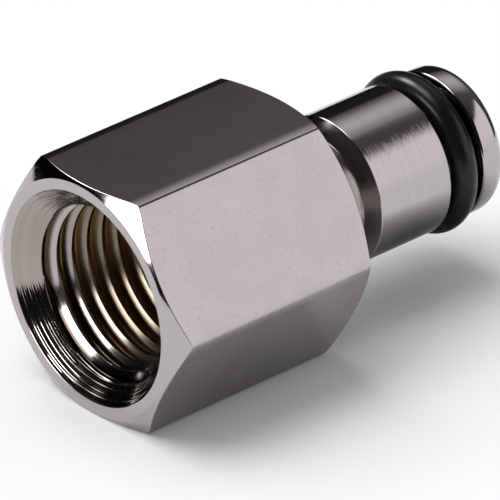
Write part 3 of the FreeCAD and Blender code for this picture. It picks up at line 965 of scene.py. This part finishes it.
def seal_rubber(context):
    """Black moulded rubber with a satin bloom."""
    return speckled(
        "seal_rubber_satin", context.scene.insert_colours.rubber, {"Specks per mm": 5.0, "Coverage": 0.5},
        tones=(0.7, 1.6), roughness=(0.25, 0.32), depth=0.001 * MM, Specular_IOR_Level=0.35,
    )


def natural_acetal(context):
    """Off-white moulded acetal with a faint unevenness."""
    return speckled(
        "acetal_moulded", context.scene.insert_colours.acetal, {"Specks per mm": 3.0, "Coverage": 0.3},
        tones=(0.94, 1.04), roughness=(0.32, 0.45), depth=0.003 * MM,
        Subsurface_Weight=0.15, Subsurface_Scale=0.4 * MM,
    )


def spring_steel(context):
    """Drawn and stamped spring steel."""
    return speckled(
        "spring_steel_drawn", context.scene.insert_colours.steel, {"Specks per mm": 6.0, "Coverage": 0.5},
        tones=(0.85, 1.1), roughness=(0.22, 0.36), depth=0.003 * MM, Metallic=1.0,
    )


def bare_brass(context):
    """Turned brass without plating."""
    material, tree, shader = new_material("brass_turned")
    shade = context.scene.insert_colours.brass
    marks = set_group(tree, turning_marks(), {"Lines per mm": 7.0, "Drift": 0.5})
    tone = tone_range(tree, marks["Tone"], shade, (0.85, 1.1))
    roughness = spread(tree, marks["Height"], *RING_RANGE, 0.2, 0.34)
    connect(tree, shader, Metallic=1.0, Base_Color=tone, Roughness=roughness)
    raise_surface(tree, shader, marks["Height"], 0.004 * MM)
    return material


def mirrored_only(piece):
    """Stage piece that only reflections see."""
    piece.visible_camera = False
    piece.visible_diffuse = False
    piece.visible_shadow = False
    piece.visible_transmission = False
    piece.visible_volume_scatter = False


def empty_material(name):
    """Material without nodes; returns it with its tree."""
    material = bpy.data.materials.new(name)
    material.use_nodes = True
    material.node_tree.nodes.clear()
    return material, material.node_tree


def new_glow(name):
    """Material with an emission shader; returns it with its tree and the shader."""
    material, tree = empty_material(name)
    light = add_node(tree, "ShaderNodeEmission")
    add_node(tree, "ShaderNodeOutputMaterial", {"Surface": light.outputs[0]})
    return material, tree, light


def plain_glow(name, shade, strength):
    """Card of one colour and strength."""
    material, tree, light = new_glow(name)
    connect(tree, light, Color=opaque(shade), Strength=strength)
    return material


def footed_glow(name, shade, strength, foot, change):
    """Card whose colour changes to another one at its foot, between two heights."""
    material, tree, light = new_glow(name)
    height = add_node(tree, "ShaderNodeSeparateXYZ", {0: piece_place(tree)}).outputs["Y"]
    shown = blend_colours(tree, spread(tree, height, *change), opaque(foot), opaque(shade))
    connect(tree, light, Color=shown, Strength=strength)
    return material


def fade(tree, radius):
    """Value that falls from 1 at an object's middle to 0 at a radius across and up."""
    inputs = {0: piece_place(tree), 1: [1 / reach for reach in (*radius, 1)]}
    scaled = add_node(tree, "ShaderNodeVectorMath", inputs, operation="MULTIPLY").outputs[0]
    return add_node(tree, "ShaderNodeTexGradient", {0: scaled}, gradient_type="SPHERICAL").outputs["Fac"]


def soft_glow(name, shade, strength, radius):
    """Card that fades from its middle over a radius in metres."""
    material, tree, light = new_glow(name)
    level = spread(tree, fade(tree, (radius, radius)), 0.0, 1.0, 0.0, strength)
    connect(tree, light, Color=opaque(shade), Strength=level)
    clear = add_node(tree, "ShaderNodeBsdfTransparent").outputs[0]
    both = add_node(tree, "ShaderNodeAddShader", {0: light.outputs[0], 1: clear}).outputs[0]
    tree.links.new(both, tree.nodes["Material Output"].inputs["Surface"])
    return material


def soft_shade(name, middle, rim, radius):
    """Veil that dims what lies behind it: shares let through at its middle and beyond a radius."""
    material, tree = empty_material(name)
    level = spread(tree, fade(tree, radius), 0.0, 1.0, rim, middle)
    veil = add_node(tree, "ShaderNodeBsdfTransparent", {"Color": level}).outputs[0]
    add_node(tree, "ShaderNodeOutputMaterial", {"Surface": veil})
    return material


def room_glow(stage, colours):
    """Unlit room that is darkest low down and beyond the mouth."""
    material, tree, light = new_glow("dark_room")
    at = piece_place(tree)
    radius = stage.room_radius
    lighter_way, wall_way = (0.6, 0.3, 0.6), (0, -0.6, 1)
    level = spread(tree, distance_along(tree, at, lighter_way), 0.2 * radius, radius, 0.08, 1.0)
    low_wall = spread(
        tree, distance_along(tree, at, wall_way), 0.015 * radius, 0.045 * radius, 0.2, 1.0
    )
    strength = calculate(tree, "MULTIPLY", level, low_wall)
    connect(tree, light, Color=opaque(colours.dark_room), Strength=strength)
    return material


def add_card(name, towards, distance, outline, material):
    """Card that faces the origin from a direction; its outline is in metres across and up."""
    mesh = bmesh.new()
    mesh.faces.new([mesh.verts.new((across, up, 0)) for across, up in outline])
    card = new_piece(name, mesh, [material])
    back = Vector(towards).normalized()
    card.matrix_world = Matrix.LocRotScale(back * distance, back.to_track_quat("Z", "Y"), None)
    mirrored_only(card)


def upright(width, height):
    """Outline of a rectangular card."""
    return [(side * width / 2, end * height / 2) for side, end in ((-1, -1), (1, -1), (1, 1), (-1, 1))]


class Stage(bpy.types.Operator):
    """Make the floor, the room and cards that the plating mirrors, the lamp and the camera"""

    bl_idname = "coupling.stage"
    bl_label = "Stage"

    def execute(self, context):
        scene = context.scene
        stage, colours = scene.insert_stage, scene.insert_colours
        scene.view_settings.view_transform = "Standard"
        self.add_floor(stage, colours)
        self.add_room(stage, colours)
        self.add_cards(stage, colours)
        self.add_floor_shades()
        self.add_lamp(scene, stage)
        self.set_world(scene, stage)
        self.add_camera(scene, stage)
        return {"FINISHED"}

    def add_floor(self, stage, colours):
        """Pale floor at the part's lowest flat."""
        mesh = bmesh.new()
        bmesh.ops.create_circle(mesh, cap_ends=True, segments=96, radius=stage.floor_radius)
        material, tree, shader = new_material("pale_floor")
        shade = tone_range(tree, noise(tree, {"Scale": 40.0, "Detail": 2.0}), colours.floor, (0.99, 1.0))
        connect(tree, shader, Base_Color=shade, Roughness=0.9, Specular_IOR_Level=0.0)
        floor = new_piece("floor", mesh, [material])
        floor.location.z = BODY_LOW.z

    def add_room(self, stage, colours):
        """Dark dome round the lit floor, and a ring above the floor that is open to the front card."""
        low = BODY_LOW.z + 0.2 * MM
        steps, dome_steps = 96, 12
        opening = math.radians(-85), math.radians(-25)
        levels = [(stage.lit_radius, 0, Vector(stage.lit_centre))]
        for step in range(dome_steps + 1):
            lean = math.pi / 2 * step / dome_steps
            width, height = stage.room_radius * math.cos(lean), stage.room_radius * math.sin(lean)
            levels.append((width, height, Vector()))
        mesh = bmesh.new()
        rings = []
        for radius, height, centre in levels:
            ring = []
            for turn in even_turns(steps):
                spot = centre + Vector((radius * math.cos(turn), radius * math.sin(turn), low + height))
                ring.append(mesh.verts.new(spot))
            rings.append(ring)
        for first, second in zip(rings, rings[1:]):
            join_rings(mesh, first, second)
        open_floor = []
        for face in mesh.faces:
            middle = face.calc_center_median()
            if middle.z < low + MM and opening[0] < math.atan2(middle.y, middle.x) < opening[1]:
                open_floor.append(face)
        bmesh.ops.delete(mesh, geom=open_floor, context="FACES")
        mirrored_only(new_piece("dark_room", mesh, [room_glow(stage, colours)]))

    def add_cards(self, stage, colours):
        """Cards that the plating mirrors: a large one, a bright one and three soft ones."""
        near, middle, far = 0.3, 0.5, 0.6
        floor_level, foot_change = 1.05, (-0.12, -0.03)
        foot = [floor_level * channel / stage.front_strength for channel in colours.floor]
        front = footed_glow("front_card", colours.front_card, stage.front_strength, foot, foot_change)
        slanted = [(-0.15, -0.2), (0.15, -0.2), (0.15, 0.172), (-0.15, 0.001)]
        add_card("front_card", stage.front_from, near, slanted, front)
        side = plain_glow("side_card", colours.side_card, stage.side_strength)
        foot_edge = [(-0.112, -0.07), (0.038, -0.072), (0.101, -0.028)]
        head_edge = [(0.104, 0.0), (-0.009, 0.064), (-0.117, 0.071)]
        add_card("side_card", stage.side_from, near, foot_edge + head_edge, side)
        soft_cards = [
            ("top_card", colours.top_card, stage.top_strength, stage.top_reach, stage.top_from, far),
            ("key_card", colours.key_card, stage.key_strength, stage.key_reach, stage.key_from, middle),
            ("edge_card", colours.edge_card, stage.edge_strength, stage.edge_reach, stage.edge_from, middle),
        ]
        for name, shade, strength, reach, towards, distance in soft_cards:
            glow = soft_glow(name, shade, strength, reach)
            add_card(name, towards, distance, upright(2 * reach, 2 * reach), glow)

    def add_floor_shades(self):
        """Veils above the floor, painted shadow so that the plating mirrors a dimmer floor close to the
        part.
        """
        step = 0.05 * MM
        # Each has its middle, its reach, and the shares let through at its middle and beyond its reach.
        shades = {
            "nose_shade": ((29 * MM, -5 * MM), (14 * MM, 19 * MM), 0.32, 0.93),
            "hexagon_shade": ((9 * MM, -5 * MM), (15 * MM, 5 * MM), 0.6, 1.0),
        }
        for number, (name, (spot, reach, middle, rim)) in enumerate(shades.items(), 1):
            mesh = bmesh.new()
            mesh.faces.new([mesh.verts.new((x, y, 0)) for x, y in upright(1, 1)])
            veil = new_piece(name, mesh, [soft_shade(name, middle, rim, reach)])
            veil.location = *spot, BODY_LOW.z + number * step
            mirrored_only(veil)

    def add_lamp(self, scene, stage):
        """Wide soft lamp above the part."""
        lamp = bpy.data.lights.new("overhead_lamp", "SUN")
        lamp.energy = stage.overhead
        lamp.angle = stage.overhead_spread
        source = bpy.data.objects.new("overhead_lamp", lamp)
        source.rotation_euler = Vector(stage.overhead_from).to_track_quat("Z", "Y").to_euler()
        source.visible_glossy = False
        scene.collection.objects.link(source)

    def set_world(self, scene, stage):
        """White background, and a weaker even light on dull surfaces."""
        world = bpy.data.worlds.new("white_room")
        world.use_nodes = True
        tree = world.node_tree
        tree.nodes.clear()
        rays = add_node(tree, "ShaderNodeLightPath").outputs
        seen = rays["Is Camera Ray"]
        for kind in ("Is Glossy Ray", "Is Transmission Ray"):
            seen = calculate(tree, "MAXIMUM", seen, rays[kind])
        strength = spread(tree, seen, 0.0, 1.0, stage.ambient, 1.0)
        white = {"Color": (1, 1, 1, 1), "Strength": strength}
        light = add_node(tree, "ShaderNodeBackground", white).outputs[0]
        add_node(tree, "ShaderNodeOutputWorld", {"Surface": light})
        scene.world = world

    def add_camera(self, scene, stage):
        """Long-lens camera above the mouth's side of the part."""
        azimuth, elevation = stage.azimuth, stage.elevation
        level = math.cos(elevation)
        back = Vector((math.sin(azimuth) * level, -math.cos(azimuth) * level, math.sin(elevation)))
        right = Vector((math.cos(azimuth), math.sin(azimuth), 0))
        facing = Matrix((right, back.cross(right), back)).transposed() @ Matrix.Rotation(stage.roll, 3, "Z")
        data = bpy.data.cameras.new("camera")
        data.angle = stage.field
        data.clip_start = 0.01
        data.clip_end = 10
        camera = bpy.data.objects.new("camera", data)
        spot = Vector(stage.aim) + back * stage.camera_distance
        camera.matrix_world = Matrix.LocRotScale(spot, facing, None)
        scene.collection.objects.link(camera)
        scene.camera = camera


OPERATORS = (PlatedBody, Seals, Poppet, Spring, RetainerAndRing, Stage)


class CouplingPanel(bpy.types.Panel):
    """Lists the pieces of the insert and their sizes"""

    bl_idname = "VIEW3D_PT_coupling"
    bl_label = "Quick coupling insert"
    bl_space_type = "VIEW_3D"
    bl_region_type = "UI"
    bl_category = "Coupling"

    def draw(self, context):
        for operator in OPERATORS:
            self.layout.operator(operator.bl_idname)
        for name, group in SETTINGS.items():
            box = self.layout.box()
            settings = getattr(context.scene, name)
            for size in group.__annotations__:
                box.prop(settings, size)


CLASSES = (*SETTINGS.values(), *OPERATORS, CouplingPanel)


def register():
    """Adds the settings, the operators and the panel."""
    for item in CLASSES:
        bpy.utils.register_class(item)
    for name, group in SETTINGS.items():
        setattr(bpy.types.Scene, name, bpy.props.PointerProperty(type=group))


def unregister():
    """Takes them away again."""
    for name in SETTINGS:
        delattr(bpy.types.Scene, name)
    for item in reversed(CLASSES):
        bpy.utils.unregister_class(item)


def main():
    """Builds every piece and the stage."""
    register()
    bpy.ops.coupling.plated_body()
    bpy.ops.coupling.seals()
    bpy.ops.coupling.poppet()
    bpy.ops.coupling.spring()
    bpy.ops.coupling.retainer_and_ring()
    bpy.ops.coupling.stage()


if __name__ == "__main__":
    main()
